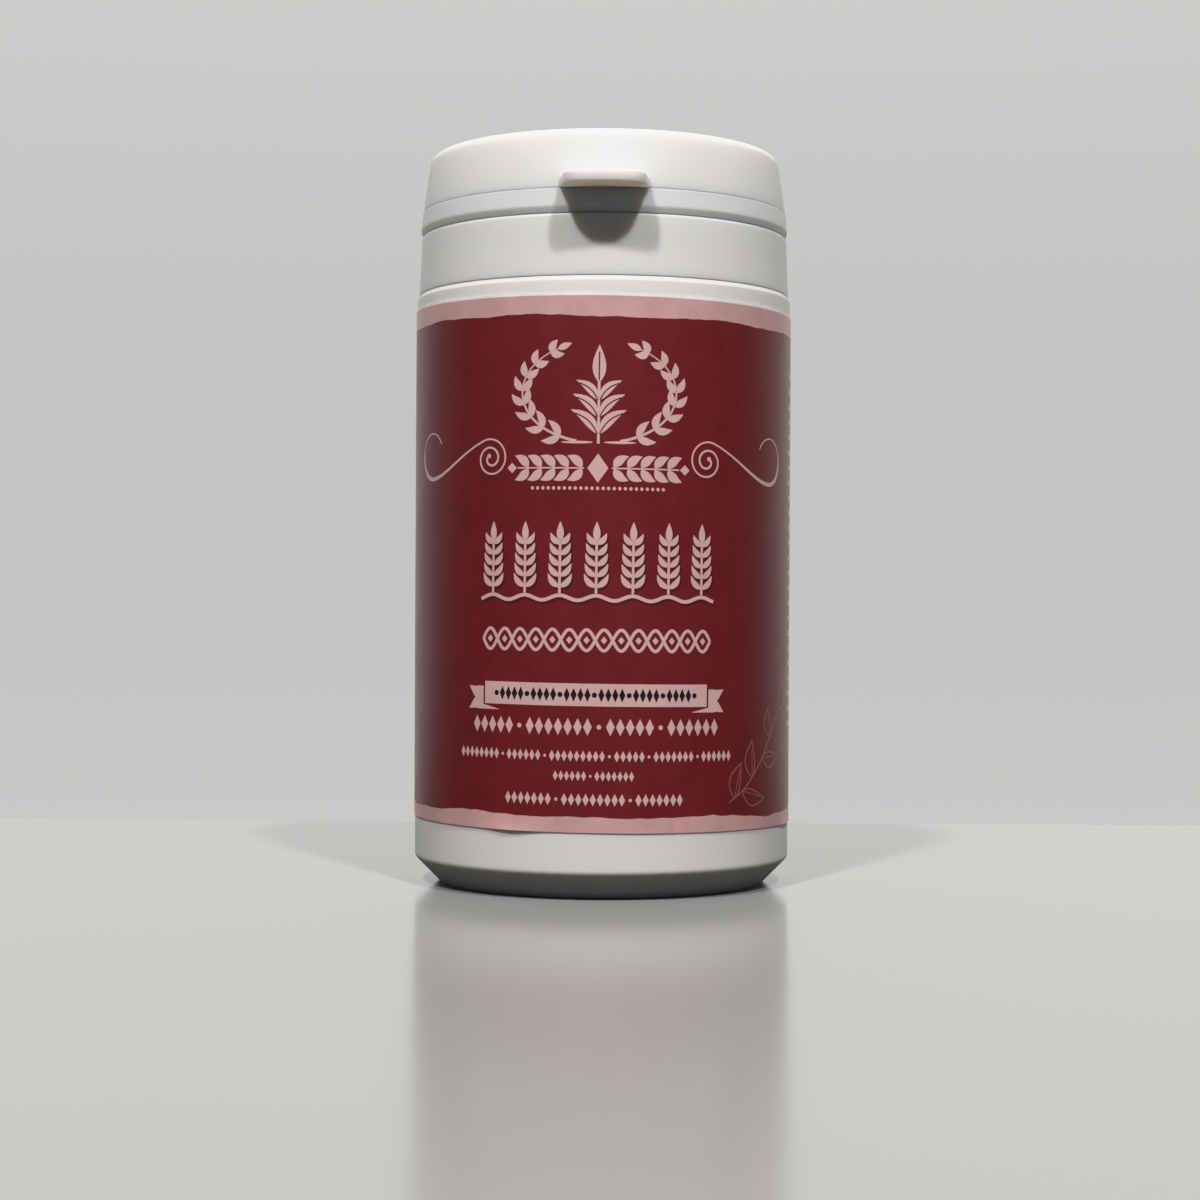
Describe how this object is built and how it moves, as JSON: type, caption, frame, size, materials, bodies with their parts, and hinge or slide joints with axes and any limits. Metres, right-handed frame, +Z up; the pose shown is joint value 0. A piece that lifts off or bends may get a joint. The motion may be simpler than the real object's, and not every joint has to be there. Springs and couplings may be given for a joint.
{
  "type": "flip-top capsule jar",
  "caption": "Round white plastic jar with a push-on flip-top cap, front thumb tab, tamper-evident band, rear film hinge and a plain wrap-around label.",
  "frame": {"origin": "centre of the flat pad under the foot, on the jar's axis", "axes": "+Z up along the jar's axis, -Y towards the thumb tab, +Y towards the hinge"},
  "size_m": [0.0582, 0.0636, 0.112],
  "materials": {
    "jar_white": "satin white polyethylene",
    "cap_white": "smooth satin white polyethylene, a little glossier than the jar",
    "label_print": "satin dark red print with pale pink borders"
  },
  "bodies": {
    "jar": {"jar_body": "jar_white", "cap_collar": "cap_white", "tear_band": "cap_white", "hinge_film": "cap_white", "label": "label_print"},
    "flip_lid": {"lid": "cap_white"}
  },
  "joints": [
    {"name": "lid_hinge", "type": "hinge", "parent": "jar", "child": "flip_lid", "pos_m": [0, 0.02875, 0.10088], "axis": [-1, 0, 0], "range_deg": [0, 130]}
  ]
}
